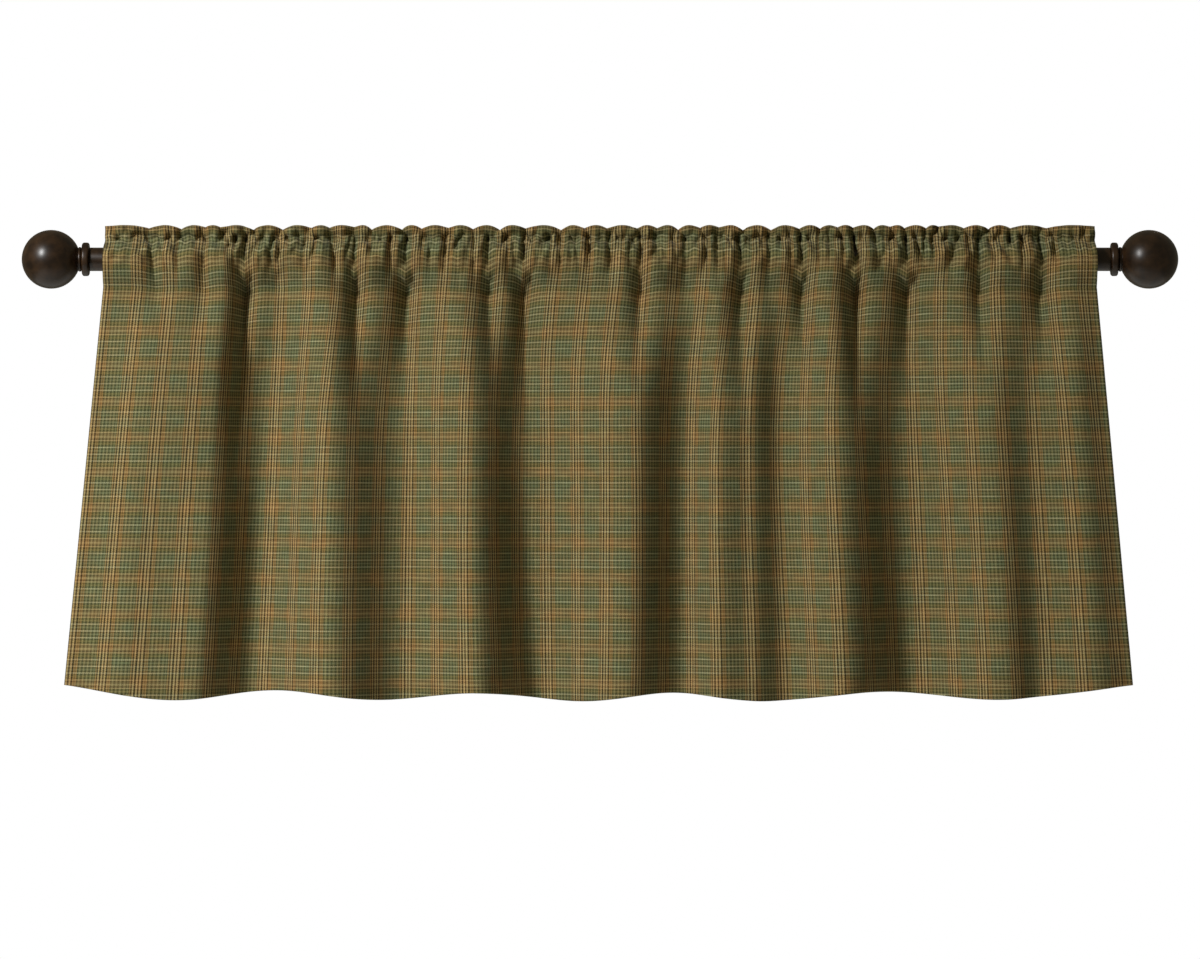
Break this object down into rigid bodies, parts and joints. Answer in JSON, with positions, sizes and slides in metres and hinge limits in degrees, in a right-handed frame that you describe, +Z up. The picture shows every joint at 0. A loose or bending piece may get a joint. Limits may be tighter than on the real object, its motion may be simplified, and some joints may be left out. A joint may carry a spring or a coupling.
{
  "type": "rod pocket window valance on a curtain rod",
  "caption": "Short gathered valance with a stand-up header ruffle, carried by a sewn rod pocket on a round curtain rod with ball finials.",
  "frame": {"origin": "On the axis of the rod at the middle of its length, which is where the wall brackets carry it.", "axes": "+X along the rod to the viewer's right, -Y the way the cloth's face looks, into the room, and +Z up."},
  "size_m": [0.9844, 0.0631, 0.4046],
  "materials": {
    "valance_cloth": "yarn-dyed cotton plaid in tan, olive green and cream, matt",
    "rod_metal": "dark bronze, satin",
    "finial_metal": "dark bronze, satin"
  },
  "bodies": {
    "root": {"valance": "valance_cloth", "rod": "rod_metal", "finial_collar_left": "finial_metal", "finial_collar_right": "finial_metal", "finial_ball_left": "finial_metal", "finial_ball_right": "finial_metal"}
  },
  "joints": []
}
